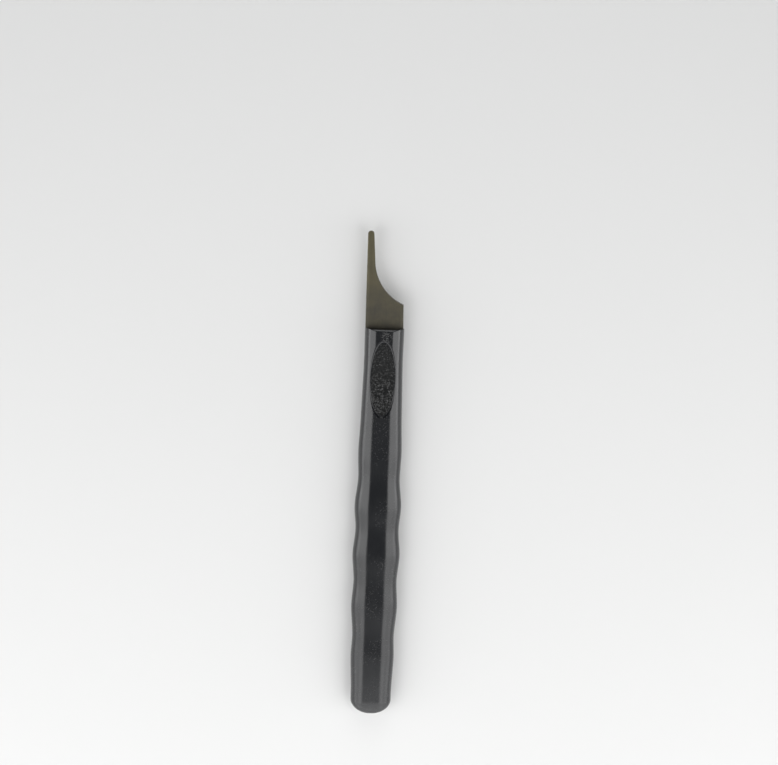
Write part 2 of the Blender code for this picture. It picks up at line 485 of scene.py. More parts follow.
@dataclass(frozen=True)
class GrainedPlastic:
    """The same plastic where the mould's pebbled grain takes its gloss away."""

    color: Color = (0.0056, 0.0058, 0.0057, 1.0)
    edge_wear_and_highlight_color: Color = (0.014, 0.014, 0.0135, 1.0)  # of the pebbles' rubbed tops
    roughness: float = 0.17  # at the oval's end by the grip
    fine_roughness: float = 0.27  # at its end by the blade, where the grain is too fine to see
    fine_along: Pair = (23.0 * MM, 34.0 * MM)  # where it starts to get finer and is finest, on Y
    rub_scale: float = 900.0
    rub_edge: Pair = (0.45, 0.75)
    rub_gloss: float = -0.04  # added to the roughness by the rubbing
    grit_scale: float = 9000.0
    grit_depth: float = 0.003 * MM

    def material(self) -> Material:
        """Build the material.

        Returns:
            A procedural material on object coordinates.
        """
        tree = ShaderTree("grained_plastic")
        rub = tree.ramp(tree.noise(self.rub_scale, 2.0), *self.rub_edge)
        along = tree.split(tree.place)[1]
        rough = tree.ramp(along, *self.fine_along, self.roughness, self.fine_roughness)
        surface = {
            "Base Color": tree.blend(rub, self.color, self.edge_wear_and_highlight_color),
            "Roughness": rub * self.rub_gloss + rough,
            "IOR": PLASTIC_IOR,
        }
        return tree.finish(surface, tree.noise(self.grit_scale, 1.0), self.grit_depth)


@dataclass(frozen=True)
class BlackenedSteel:
    """Hardened steel plate with a matt brown-black oxide, and along its scraping edge wear with a
    painted highlight.
    """

    hook_center: Vector  # of the scraping edge's arc
    hook_radius: float
    lighter_tip_along: Pair  # where the colour starts to lighten towards the tip and is lightest, on Y
    lighter_tip_most: float = 0.9
    color: Color = (0.053, 0.0492, 0.0415, 1.0)  # of the darkest oxide
    thin_color: Color = (0.128, 0.113, 0.068, 1.0)
    edge_wear_and_highlight_color: Color = (0.125, 0.117, 0.098, 1.0)  # of the worn steel and painted edge highlight along the scraping edge
    metal: float = 0.55
    roughness: float = 0.5
    thin_gloss: float = -0.08  # added to the roughness where the oxide is thin
    worn_gloss: float = -0.12  # added along the scraping edge
    mottle_scale: float = 260.0
    mottle_share: float = 0.78
    line_scales: Triple = (5200.0, 210.0, 900.0)  # of the rolling lines
    line_share: float = 0.22
    line_depth: float = 0.004 * MM
    line_edge: Pair = (0.25, 0.7)
    oxide_edge: Pair = (0.3, 0.7)
    oxide_thin: Pair = (0.05, 0.5)  # how thin it is there
    edge_band_width: float = 0.22 * MM  # how far the wear and the painted edge highlight reach in from the edge

    def material(self) -> Material:
        """Build the material.

        Returns:
            A procedural material on object coordinates.
        """
        tree = ShaderTree("blackened_steel")
        mottle = tree.noise(self.mottle_scale, 4.0)
        drawn = tree.add("ShaderNodeMapping", {"Vector": tree.place, "Scale": self.line_scales})[0]
        lines = tree.noise(1.0, 2.0, drawn)
        oxide = lines * self.line_share + mottle * self.mottle_share
        x, y, _ = tree.split(tree.place)
        # The steel gets lighter towards the tip and stays darker by the handle.
        toward_tip = tree.ramp(y, *self.lighter_tip_along, 0.0, self.lighter_tip_most)
        thin = tree.ramp(oxide, *self.oxide_edge, *self.oxide_thin) + toward_tip
        # Painted highlight with wear: a lighter, glossier band within a fraction of a millimetre of the
        # scraping edge.
        away = tree.vector(x - self.hook_center.x, y - self.hook_center.y, 0.0)
        inside = tree.vector_math("LENGTH", away) - self.hook_radius
        edge_wear_and_highlight = tree.ramp(inside, self.edge_band_width, 0.0) * tree.ramp(lines, *self.line_edge)
        oxide_color = tree.blend(thin, self.color, self.thin_color)
        surface = {
            "Base Color": tree.blend(edge_wear_and_highlight, oxide_color, self.edge_wear_and_highlight_color),
            "Metallic": self.metal,
            "Roughness": edge_wear_and_highlight * self.worn_gloss + (thin * self.thin_gloss + self.roughness),
        }
        return tree.finish(surface, lines, self.line_depth)


@dataclass(frozen=True)
class PalePaper:
    """The studio's plain pale floor."""

    color: Color = (0.7, 0.7, 0.695, 1.0)
    dark_color: Color = (0.6895, 0.6895, 0.684575, 1.0)  # of its barely uneven tone
    tone_scale: float = 14.0
    roughness: float = 0.9
    specular: float = 0.2

    def material(self) -> Material:
        """Build the material.

        Returns:
            A matt material on object coordinates.
        """
        tree = ShaderTree("pale_floor")
        tree.feed(tree.shader, {
            "Base Color": tree.blend(tree.noise(self.tone_scale, 2.0), self.color, self.dark_color),
            "Roughness": self.roughness,
            "Specular IOR Level": self.specular,
        })
        return tree.material


# The handle


@dataclass(frozen=True)
class HandleForm:
    """The moulded bar's outer form, from its domed butt to its flat end."""

    length: float = 120.6 * MM  # from the butt to the end that the blade stands on
    width: float = 14.4 * MM  # across the widest finger swell
    thickness: float = 8.0 * MM  # between the broad faces, on the swells
    flat_width: float = 4.2 * MM  # along each broad face
    butt_dome: float = 4.5 * MM  # length of the rounded butt
    end_round: float = 0.8 * MM  # radius along the end's front and back edges
    stations: tuple[Triple, ...] = (
        # Place along the handle, width and thickness there, as shares of the sizes.
        (0.000, 0.858, 0.905),
        (0.066, 0.862, 0.945),
        (0.100, 0.887, 0.965),
        (0.153, 0.919, 0.985),
        (0.202, 0.887, 0.955),
        (0.284, 0.975, 1.000),
        (0.348, 0.915, 0.955),
        (0.417, 1.000, 1.000),
        (0.483, 0.915, 0.955),
        (0.542, 0.985, 1.000),
        (0.617, 0.880, 0.945),
        (0.682, 0.915, 1.000),
        (0.755, 0.872, 1.000),
        (0.833, 0.841, 1.000),
        (0.920, 0.813, 1.000),
        (1.000, 0.823, 1.000),
    )

    def share(self, column: int, along: float) -> float:
        """A width or thickness share on a smooth curve that never passes a station's value.

        Args:
            column: 1 for width, 2 for thickness.
            along: Distance from the butt.

        Returns:
            The share of the whole size.
        """
        place = along / self.length
        places = [station[0] for station in self.stations]
        values = [station[column] for station in self.stations]
        spans = [after - before for before, after in zip(places, places[1:])]
        rises = [(after - before) / span for before, after, span in zip(values, values[1:], spans)]
        slopes = [0.0]
        for before, after in zip(rises, rises[1:]):
            turning = before * after <= 0.0
            slopes.append(0.0 if turning else 2.0 * before * after / (before + after))
        slopes.append(0.0)
        index = max(i for i in range(len(spans)) if places[i] <= place)
        t = (place - places[index]) / spans[index]
        return (
            values[index] * (1.0 + 2.0 * t) * (1.0 - t) ** 2
            + values[index + 1] * t ** 2 * (3.0 - 2.0 * t)
            + slopes[index] * spans[index] * t * (1.0 - t) ** 2
            - slopes[index + 1] * spans[index] * t ** 2 * (1.0 - t)
        )

    def dome(self, along: float) -> float:
        """How much of its full section the handle has in the rounded butt, from 0 to 1."""
        depth = max(0.0, self.butt_dome - along) / self.butt_dome
        return math.sqrt(max(0.0, 1.0 - depth ** 2))

    def half_width(self, along: float) -> float:
        """Half the width at a distance from the butt."""
        return self.dome(along) * self.share(1, along) * self.width / 2.0

    def half_thickness(self, along: float) -> float:
        """Half the thickness at a distance from the butt."""
        return self.dome(along) * self.share(2, along) * self.thickness / 2.0

    def half_flat(self, along: float) -> float:
        """Half the width of the flat on each broad face at a distance from the butt."""
        return self.dome(along) * self.flat_width / 2.0

    def face_height(self, across: float, along: float) -> float:
        """Height of the broad face over the middle plane.

        Args:
            across: Distance from the axis.
            along: Distance from the butt.

        Returns:
            The height there.
        """
        flat = self.half_flat(along)
        past_flat = max(0.0, abs(across) - flat) / (self.half_width(along) - flat)
        return self.half_thickness(along) * math.sqrt(1.0 - past_flat ** 2)


@dataclass(frozen=True)
class ThumbRecess:
    """The dished oval in each broad face of the neck."""

    form: HandleForm = HandleForm()
    from_end: float = 15.3 * MM  # from the handle's end to the oval's centre
    length: float = 23.8 * MM
    width: float = 7.9 * MM
    fullness: float = 0.15  # how much broader than an ellipse towards its ends, as a share
    wall: float = 0.65 * MM  # depth of its floor under the face
    dish: float = 0.05 * MM  # how much deeper its middle is
    wall_turn: float = math.radians(60.0)  # steepest slope of its wall
    lip_turn: float = math.radians(14.0)  # slope at which the wall's round lip meets the face
    lip_radius: float = 0.03 * MM
    foot_radius: float = 0.3 * MM  # where the wall runs into the floor
    round_share: float = 0.45  # most of a low wall that its lip and foot may take up
    flare: float = 0.06 * MM  # how far the lip's slope goes on over the face
    plug_lift: float = 2.0 * MM  # how far the plug that cuts it stands out of the face
    around: int = 160  # facets round the oval
    floor_rings: int = 8
    round_rings: int = 5  # over the lip, and as many over the foot

    def center(self, height: float) -> Vector:
        """The oval's centre, at a height over the middle plane."""
        return Vector((0.0, self.form.length - self.from_end, height))

    def wall_rise(self, depth: float) -> list[Pair]:
        """The wall's profile from its foot to its lip.

        Args:
            depth: How high the wall is.

        Returns:
            For each ring its distance in from the lip and its height over the foot.
        """
        steep, gentle = self.wall_turn, self.lip_turn
        rounded = self.foot_radius * (1.0 - math.cos(steep))
        rounded += self.lip_radius * (math.cos(gentle) - math.cos(steep))
        shrink = min(1.0, self.round_share * depth / rounded)
        foot, lip = shrink * self.foot_radius, shrink * self.lip_radius
        shares = [step / self.round_rings for step in range(self.round_rings + 1)]
        turns = [steep * share for share in shares]
        profile = [(foot * math.sin(turn), foot * (1.0 - math.cos(turn))) for turn in turns]
        straight = (depth - shrink * rounded) / math.sin(steep)
        run = profile[-1][0] + straight * math.cos(steep)
        rise = profile[-1][1] + straight * math.sin(steep)
        for turn in [steep + (gentle - steep) * share for share in shares]:
            across = lip * (math.sin(steep) - math.sin(turn))
            profile.append((run + across, rise + lip * (math.cos(turn) - math.cos(steep))))
        return [(profile[-1][0] - out, height) for out, height in profile]

    def spokes(self) -> list[list[Vector]]:
        """The recess's shape along every spoke of the oval, over the middle plane.

        Returns:
            For each spoke its points from the wall's foot to its lip.
        """
        half_width, half_length = self.width / 2.0, self.length / 2.0
        along = self.form.length - self.from_end
        floor = self.form.thickness / 2.0 - self.wall
        spokes = []
        for step in range(self.around):
            turn = math.tau * step / self.around
            across, rise = math.cos(turn), math.sin(turn)
            full = 1.0 + self.fullness * rise ** 2
            lip = Vector((half_width * across * full, half_length * rise, 0.0))
            slant = half_width * rise * (full - 2.0 * self.fullness * across ** 2)
            out = Vector((half_length * across, slant, 0.0)).normalized()
            depth = self.form.face_height(lip.x, along + lip.y) - floor
            spokes.append([
                lip - out * inward + Vector((0.0, along, floor + height))
                for inward, height in self.wall_rise(depth)
            ])
        return spokes

    def floor(self, builder: BMesh, rim: Sequence[BMVert]) -> None:
        """Fill the ring round the wall's foot with the dished floor.

        Args:
            builder: The shape that is added to.
            rim: The ring's points in order.
        """
        center = self.center(rim[0].co.z)
        outer = list(rim)
        for ring in range(self.floor_rings - 1, 0, -1):
            share = ring / self.floor_rings
            sunk = Vector((0.0, 0.0, self.dish * (1.0 - share ** 2)))
            inner = [builder.verts.new(center.lerp(vertex.co, share) - sunk) for vertex in rim]
            bridge(builder, inner, outer)
            outer = inner
        middle = builder.verts.new(center - Vector((0.0, 0.0, self.dish)))
        for i, vertex in enumerate(outer):
            builder.faces.new((middle, vertex, outer[(i + 1) % self.around]))

    def plug(self, face: Face) -> Object:
        """The solid that sinks one recess into the handle.

        Args:
            face: Which broad face it is in.

        Returns:
            The solid, which stands out of the handle's face.
        """
        builder = bmesh.new()
        rings = [[builder.verts.new(point) for point in ring] for ring in zip(*self.spokes())]
        self.floor(builder, rings[0])
        lip = rings[-1]
        for lift in (self.flare, self.plug_lift):
            ring = []
            for vertex in lip:
                away = (vertex.co - self.center(0.0)) * Vector((1.0, 1.0, 0.0))
                run = away.normalized() * self.flare / math.tan(self.lip_turn)
                ring.append(builder.verts.new(vertex.co + run + Vector((0.0, 0.0, lift))))
            rings.append(ring)
        for inner, outer in zip(rings, rings[1:]):
            bridge(builder, inner, outer)
        builder.faces.new(rings[-1])
        for vertex in builder.verts:
            vertex.co.z = self.form.thickness / 2.0 + face.value * vertex.co.z
        return object_from("recess_plug", builder)


@dataclass(frozen=True)
class ThumbGrain:
    """The pebbled grain on the floor of a thumb recess."""

    recess: ThumbRecess = ThumbRecess()
    inset: float = 0.3 * MM  # from the recess's lip to the grain's edge
    pebble: float = 0.32 * MM  # width of a pebble
    height: float = 0.015 * MM  # how far a level pebble stands up from the floor
    lean: float = 0.5  # steepest slope of a pebble's top, as rise over run
    lean_rarity: float = 5.0  # the power that leaves most pebbles nearly level
    groove: float = 0.2  # between pebbles, as a share of their width
    pattern_start: float = 0.31  # shifts the pattern, to one side on each face
    relief_along: Pair = (-0.75, 0.2)  # where the relief drops, as shares of half the length
    relief: Pair = (1.15, 0.35)  # towards the grip and towards the blade
    fade_from: float = 0.88  # where the grain runs out, on the square of the oval's radius
    edge_sink: float = 0.03 * MM  # how far its edge dips into the plastic
    depth: float = 0.15 * MM  # how far its underside lies in the plastic
    spacing: float = 0.045 * MM  # between the mesh's points
    merge: float = 0.001 * MM  # points nearer than this become one

    def build(self, material: Material, face: Face) -> Object:
        """Raise pebbles on a grid that is cut to the oval.

        Args:
            material: The grain's finish.
            face: Which broad face it is in.

        Returns:
            The finished grain.
        """
        tree = GeometryTree(f"thumb_grain_{face.name.lower()}")
        recess = self.recess
        half_width = tree.size("Half Width", recess.width / 2.0 - self.inset)
        half_length = tree.size("Half Length", recess.length / 2.0 - self.inset)
        spacing = tree.size("Point Spacing", self.spacing)
        depth = tree.size("Depth", self.depth)
        width, length = half_width * 2.0, half_length * 2.0
        inputs = {"Size X": width, "Size Y": length}
        inputs |= {"Vertices X": width / spacing, "Vertices Y": length / spacing}
        grid = tree.add("GeometryNodeMeshGrid", inputs)[0]
        place = tree.add("GeometryNodeInputPosition")[0]
        x, y, _ = tree.split(place)
        rise = (y / half_length) ** 2.0
        across = x / (half_width * (rise * tree.size("Fullness", recess.fullness) + 1.0))
        square = across * across + rise
        inputs = {"Geometry": grid, "Selection": tree.math("GREATER_THAN", square, 1.0)}
        oval = tree.add("GeometryNodeDeleteGeometry", inputs, domain="FACE", mode="ALL")[0]
        offset = tree.vector(0.0, 0.0, depth)
        inputs = {"Mesh": oval, "Offset": offset, "Offset Scale": 1.0, "Individual": False}
        slab, slab_top, _ = tree.add("GeometryNodeExtrudeMesh", inputs)

        # The top follows the dished floor, carries the pebbles and dips under it at its edge.
        fade = tree.ramp(square, 1.0, self.fade_from)
        drop = [half_length * share for share in self.relief_along]
        pebbles = self.pebbles(tree, place, tree.ramp(y, *drop, *self.relief), face)
        floor = tree.size("Dish", recess.dish) * (1.0 - square)
        height = pebbles * fade - floor + (fade - 1.0) * self.edge_sink + depth
        inputs = {"Geometry": slab, "Selection": slab_top, "Position": tree.vector(x, y, height)}
        grained = tree.add("GeometryNodeSetPosition", inputs)[0]

        # The underside is the oval's rim, filled with a few flat triangles.
        faces_met = tree.add("GeometryNodeInputMeshEdgeNeighbors")[0]
        inputs = {"Mesh": oval, "Selection": tree.math("COMPARE", faces_met, 1.0, 0.5)}
        rim = tree.add("GeometryNodeMeshToCurve", inputs)[0]
        filled = tree.add("GeometryNodeFillCurve", {"Curve": rim}, mode="TRIANGLES")[0]
        joined = tree.tree.nodes.new("GeometryNodeJoinGeometry")
        for half in (grained, tree.add("GeometryNodeFlipFaces", {"Mesh": filled})[0]):
            tree.feed(joined, {0: half})
        inputs = {"Geometry": Value(tree, joined.outputs[0]), "Distance": self.merge}
        closed = tree.add("GeometryNodeMergeByDistance", inputs)[0]

        # Then the whole is laid in its recess, on one face or the other.
        z = tree.split(place)[2]
        side = tree.size("Face Side", face.value)
        middle = tree.size("Mid Height", recess.form.thickness / 2.0)
        base = tree.size("Base Height", recess.form.thickness / 2.0 - recess.wall - self.depth)
        center = tree.size("Oval Centre", recess.form.length - recess.from_end)
        laid = tree.vector(x * side, y + center, (z + base) * side + middle)
        laid = tree.add("GeometryNodeSetPosition", {"Geometry": closed, "Position": laid})[0]
        return tree.make(bpy.data.meshes.new(tree.name), laid, material)

    def pebbles(self, tree: GeometryTree, place: Value, relief: Value, face: Face) -> Value:
        """Pebbles with grooves between them, most of them nearly level and a few leaning every way.

        Args:
            tree: The grain's tree.
            place: Where a point is.
            relief: How much of their full height the pebbles have there.
            face: Which broad face the grain is in, so that the two differ.

        Returns:
            The height over the floor.
        """
        start = (0.0, 0.0, self.pattern_start * face.value)
        start = tree.size("Pattern Start", start, "NodeSocketVector")
        moved = tree.vector_math("ADD", place, start)
        inputs = {"Vector": moved, "Scale": 1.0 / tree.size("Pebble Width", self.pebble)}
        rim = tree.add("ShaderNodeTexVoronoi", inputs, feature="DISTANCE_TO_EDGE")[0]
        _, tone, middle = tree.add("ShaderNodeTexVoronoi", inputs, feature="F1")
        chance, compass, _ = tree.split(tone)
        away_x, away_y, _ = tree.split(tree.vector_math("SUBTRACT", moved, middle))
        lean = chance ** self.lean_rarity * tree.size("Steepest Lean", self.lean)
        turn = compass * math.tau
        run = away_x * tree.math("COSINE", turn) + self.pebble / 2.0
        run = away_y * tree.math("SINE", turn) + run
        top = lean * run + tree.size("Height", self.height)
        return (1.0 - tree.ramp(rim, 0.0, self.groove, 1.0, 0.0) ** 2.0) * top * relief


@dataclass(frozen=True)
class Handle:
    """The black moulding: grip, thumb recesses, socket, grain and parting line."""

    form: HandleForm = HandleForm()
    recess: ThumbRecess = ThumbRecess()
    grain: ThumbGrain = ThumbGrain()
    around: int = 176  # facets round a section
    flat_share: float = 0.12  # of them on the flat of each broad face
    dome_rows: int = 24  # over the butt
    row_spacing: float = 0.42 * MM  # along the rest
    round_rows: int = 7  # over the end's rounded edges
    cap_rows: int = 8  # that close the end face
    merge: float = 0.0005 * MM  # points nearer than this become one
    bead_radius: float = 0.1 * MM  # of the parting line's bead
    bead_height: float = 0.03 * MM  # how far the bead stands out of the sides
    bead_sides: int = 8
    bead_dome_steps: int = 20

    def rows(self) -> list[Triple]:
        """Every row of facets, from the pole of the butt to the middle of the end face.

        Returns:
            For each row its place along the handle, its height limit and how far it is closed.
        """
        form = self.form
        full = form.thickness / 2.0
        turns = quarter_turn(self.dome_rows)
        rows = [(form.butt_dome * (1.0 - math.cos(turn)), full, 1.0) for turn in turns]
        rounding = form.length - form.end_round
        straight = rounding - form.butt_dome
        count = round(straight / self.row_spacing)
        rows += [(form.butt_dome + straight * row / count, full, 1.0) for row in range(count)]
        for turn in quarter_turn(self.round_rows, 1):
            limit = full - form.end_round * (1.0 - math.cos(turn))
            rows.append((rounding + form.end_round * math.sin(turn), limit, 1.0))
        limit = full - form.end_round
        rows += [(form.length, limit, 1.0 - (row + 1) / self.cap_rows) for row in range(self.cap_rows)]
        return rows

    def axis(self) -> Mesh:
        """The handle's axis, a line whose points carry the size of the section there.

        Returns:
            A mesh of one line with five numbers at each point.
        """
        rows = self.rows()
        mesh = polyline("handle_axis", [Vector((0.0, row[0], 0.0)) for row in rows])
        columns = {
            "half_width": [self.form.half_width(row[0]) for row in rows],
            "half_thickness": [self.form.half_thickness(row[0]) for row in rows],
            "half_flat": [self.form.half_flat(row[0]) for row in rows],
            "height_limit": [row[1] for row in rows],
            "closing": [row[2] for row in rows],
        }
        for name, values in columns.items():
            mesh.attributes.new(name, "FLOAT", "POINT").data.foreach_set("value", values)
        return mesh

    def shell(self, material: Material) -> Object:
        """Loft the handle's sections along its axis.

        Args:
            material: The handle's finish.

        Returns:
            The handle's skin, still without its recesses and its socket.
        """
        tree = GeometryTree("moulded_handle")
        around = tree.size("Around", self.around, "NodeSocketInt")
        flat_share = tree.size("Flat Share", self.flat_share)
        lift = tree.size("Mid Height", self.form.thickness / 2.0)
        columns = around + 1.0
        count = tree.add("GeometryNodeAttributeDomainSize", {"Geometry": tree.seed}, component="MESH")
        inputs = {"Vertices X": count[0], "Vertices Y": columns}
        grid = tree.add("GeometryNodeMeshGrid", inputs)[0]
        index = tree.add("GeometryNodeInputIndex")[0]
        row = tree.math("FLOOR", index / columns)
        share = (index - row * columns) / around

        def at_row(value: Value, kind: str = "FLOAT") -> Value:
            """One of the axis's values at this facet's row."""
            inputs = {"Geometry": tree.seed, "Value": value, "Index": row}
            return tree.add("GeometryNodeSampleIndex", inputs, data_type=kind)[0]

        def carried(name: str) -> Value:
            """One of the numbers that the axis carries, at this facet's row."""
            named = tree.add("GeometryNodeInputNamedAttribute", {"Name": name}, data_type="FLOAT")
            return at_row(named[0])

        place = tree.add("GeometryNodeInputPosition")[0]
        along = tree.split(at_row(place, "FLOAT_VECTOR"))[1]
        after_back = flat_share + 0.5
        front = tree.ramp(share, 0.0, flat_share)
        left = tree.ramp(share, flat_share, 0.5)
        back = tree.ramp(share, 0.5, after_back)
        right = tree.ramp(share, after_back, 1.0)
        turn = (left + right) * math.pi + math.pi / 2.0
        side = (back - front) * 2.0 + 1.0
        flat = carried("half_flat")
        across = side * flat + (carried("half_width") - flat) * tree.math("COSINE", turn)
        height = carried("half_thickness") * tree.math("SINE", turn)
        limit = carried("height_limit")
        softness = lift - limit
        height = tree.math("SMOOTH_MIN", height, limit, softness)
        height = tree.math("SMOOTH_MAX", height, limit * -1.0, softness)
        closing = carried("closing")
        position = tree.vector(across * closing, along, height * closing + lift)
        moved = tree.add("GeometryNodeSetPosition", {"Geometry": grid, "Position": position})[0]
        inputs = {"Geometry": moved, "Distance": tree.size("Seam Tolerance", self.merge)}
        merged = tree.add("GeometryNodeMergeByDistance", inputs)[0]
        return tree.make(self.axis(), merged, material)

    def side_path(self) -> list[Vector]:
        """The line where the two halves of the mould met, down one side and up the other.

        Returns:
            Points just under the handle's skin, in its middle plane.
        """
        form = self.form
        sunk = self.bead_radius - self.bead_height
        points = []
        for turn in quarter_turn(self.bead_dome_steps):
            along = form.butt_dome * (1.0 - math.cos(turn))
            points.append((max(0.0, form.half_width(along) - sunk * math.sin(turn)), along))
        grip = form.length - form.butt_dome - self.bead_radius
        count = round(grip / self.row_spacing)
        for row in range(count + 1):
            along = form.butt_dome + grip * row / count
            points.append((form.half_width(along) - sunk, along))
        one_side = [
            Vector((across, along + sunk * max(0.0, 1.0 - along / sunk), form.thickness / 2.0))
            for across, along in points
        ]
        other_side = [point * Vector((-1.0, 1.0, 1.0)) for point in one_side[1:]]
        return list(reversed(one_side)) + other_side

    def bead(self, material: Material) -> Object:
        """Run a fine bead along the parting line.

        Args:
            material: The bead's finish.

        Returns:
            The finished bead.
        """
        tree = GeometryTree("parting_line")
        path = tree.add("GeometryNodeMeshToCurve", {"Mesh": tree.seed})[0]
        inputs = {"Resolution": self.bead_sides, "Radius": tree.size("Bead Radius", self.bead_radius)}
        profile = tree.add("GeometryNodeCurvePrimitiveCircle", inputs)[0]
        inputs = {"Curve": path, "Profile Curve": profile, "Fill Caps": True}
        tube = tree.add("GeometryNodeCurveToMesh", inputs)[0]
        return tree.make(polyline("side_path", self.side_path()), tube, material)


# The blade


@dataclass(frozen=True)
class Blade:
    """The hardened plate: tang, shoulders, heel, hooked scraping edge and finger."""

    thickness: float = 2.0 * MM
    mid_height: float = HandleForm.thickness / 2.0  # half way up the handle
    tool_length: float = 150.0 * MM  # from the butt to the finger's tip
    handle_length: float = HandleForm.length
    spine_offset: float = 5.87 * MM  # from the axis to the straight back, at the shoulders
    spine_lean: float = 0.2 * MM  # how much further out the back is at the tip
    flank_offset: float = 5.65 * MM  # from the axis to the other side, at the shoulders
    flank_lean: float = 0.2 * MM  # how much further in that side is at the heel's corner
    heel_length: float = 7.3 * MM  # from the handle's end to the heel's corner
    hook_radius: float = 14.6 * MM  # of the concave scraping edge
    tip_radius: float = 0.95 * MM
    finger_taper: float = math.radians(4.0)  # slant of the finger's inner edge
    edge_break: float = 0.16 * MM  # width of the eased edges
    edge_rings: int = 3
    tip_steps: int = 28
    hook_steps: int = 90
    tang_width: float = 7.8 * MM
    tang_length: float = 27.0 * MM
    tang_corner: float = 1.2 * MM
    corner_steps: int = 8
    root_radius: float = 0.4 * MM  # where the tang meets the shoulders
    root_steps: int = 6
    anchor_radius: float = 1.5 * MM  # of the two holes in the tang
    anchor_from_end: float = 8.0 * MM  # from the handle's end to the first hole
    anchor_pitch: float = 11.0 * MM
    anchor_sides: int = 48
    notch_radius: float = 0.9 * MM  # of the notches in the tang's sides
    notch_steps: int = 16
    seat: float = 0.02 * MM  # play between the steel and the plastic
    socket_mouth: float = 1.0 * MM  # how far the cut for the tang goes on past the handle's end

    def tang_side(self, grow: float) -> list[Vector]:
        """Right wall of the tang from its end up past the notch.

        Args:
            grow: How far the wall is moved out, for the socket round it.

        Returns:
            Points measured from the handle's end.
        """
        wall = self.tang_width / 2.0
        corner = self.tang_corner + grow
        corner_center = Vector((wall + grow - corner, corner - grow - self.tang_length))
        notch = self.notch_radius - grow
        notch_center = Vector((wall, -self.anchor_from_end - self.anchor_pitch / 2.0))
        bite = math.acos(grow / notch)
        end = arc(corner_center, corner, -math.pi / 2.0, 0.0, self.corner_steps)
        return end + arc(notch_center, notch, math.tau - bite, bite, self.notch_steps)

    def finger_tip(self) -> list[Vector]:
        """The round tip, from the finger's inner edge over the end to the straight back.

        Returns:
            Points measured from the handle's end.
        """
        exposed = self.tool_length - self.handle_length
        lean = math.atan2(self.spine_lean, exposed)
        radius = self.tip_radius
        center_along = exposed - radius
        slide = (center_along - self.seat - radius * math.sin(lean)) / math.cos(lean)
        across = radius * math.cos(lean) - slide * math.sin(lean) - self.spine_offset
        center = Vector((across, center_along))
        return arc(center, radius, self.finger_taper, math.pi + lean, self.tip_steps)

    def heel(self) -> Vector:
        """The heel's sharp corner."""
        return Vector((self.flank_offset - self.flank_lean, self.heel_length))

    def hook_center(self) -> Vector:
        """Centre of the concave edge, which runs smoothly into the finger and ends at the heel.

        Returns:
            The centre, measured from the handle's end.
        """
        outward = Vector((math.cos(self.finger_taper), math.sin(self.finger_taper)))
        up = Vector((-math.sin(self.finger_taper), math.cos(self.finger_taper)))
        start = self.finger_tip()[0] + outward * self.hook_radius
        behind = (start - self.heel()).dot(up)
        missing = (start - self.heel()).length_squared - self.hook_radius ** 2
        return start + up * (math.sqrt(behind ** 2 - missing) - behind)

    def outline(self) -> tuple[list[Vector], list[int]]:
        """The plate's edge, anticlockwise from the tang's end.

        Returns:
            Its points, and the numbers of the points that start an eased edge.
        """
        root = Vector((self.tang_width / 2.0 + self.root_radius, self.seat - self.root_radius))
        shoulder = arc(root, self.root_radius, math.pi, math.pi / 2.0, self.root_steps)
        tang = self.tang_side(0.0) + shoulder
        center = self.hook_center()
        heel_turn = math.atan2(self.heel().y - center.y, self.heel().x - center.x) + math.tau
        hook_end = math.pi + self.finger_taper
        hook = arc(center, self.hook_radius, heel_turn, hook_end, self.hook_steps)
        tip = self.finger_tip()
        flank = Vector((self.flank_offset, self.seat))
        back = Vector((-self.spine_offset, self.seat))
        tip_start = len(tang) + 1 + len(hook)
        eased = [len(tang), *range(tip_start, tip_start + len(tip))]
        return tang + [flank] + hook + tip + [back] + mirrored(tang), eased

    def plate(self, outline: Sequence[Vector], thickness: float, eased: Iterable[int] = ()) -> BMesh:
        """A flat plate in its place in front of and inside the handle.

        Args:
            outline: Its edge, measured from the handle's end.
            thickness: Of the plate.
            eased: The numbers of the points that start an eased edge.

        Returns:
            The plate's shape.
        """
        builder = bmesh.new()
        rims = []
        for level in (-thickness / 2.0, thickness / 2.0):
            height = self.mid_height + level
            rims.append([builder.verts.new((p.x, self.handle_length + p.y, height)) for p in outline])
        for rim in rims:
            builder.faces.new(rim)
        bridge(builder, rims[0], rims[1])
        weight = builder.edges.layers.float.new("bevel_weight_edge")
        for i in eased:
            for rim in rims:
                builder.edges.get((rim[i], rim[(i + 1) % len(rim)]))[weight] = 1.0
        return builder

    def anchors(self, radius: float) -> Object:
        """Round bars across the tang: the holes in it, or the posts of plastic that fill them.

        Args:
            radius: Of the bars.

        Returns:
            Both bars as one object.
        """
        builder = bmesh.new()
        for number in range(2):
            along = self.handle_length - self.anchor_from_end - number * self.anchor_pitch
            bmesh.ops.create_cone(
                builder,
                cap_ends=True,
                segments=self.anchor_sides,
                radius1=radius,
                radius2=radius,
                depth=2.0 * self.thickness,
                matrix=Matrix.Translation((0.0, along, self.mid_height)),
            )
        return object_from("anchors", builder)

    def socket(self) -> Object:
        """The space that the tang takes in the handle, with the plastic posts left standing.

        Returns:
            The space as a solid.
        """
        side = self.tang_side(self.seat)
        side.append(Vector((self.tang_width / 2.0 + self.seat, self.socket_mouth)))
        plate = self.plate(side + mirrored(side), self.thickness + 2.0 * self.seat)
        return subtract(object_from("socket", plate), self.anchors(self.anchor_radius - self.seat))

    def build(self) -> Object:
        """Build the plate.

        Returns:
            The finished plate.
        """
        outline, eased = self.outline()
        piece = object_from("scraping_blade", self.plate(outline, self.thickness, eased))
        easing = piece.modifiers.new("easing", "BEVEL")
        easing.limit_method = "WEIGHT"
        easing.width = self.edge_break
        easing.segments = self.edge_rings
        return subtract(flatten(piece), self.anchors(self.anchor_radius))


# The assembly


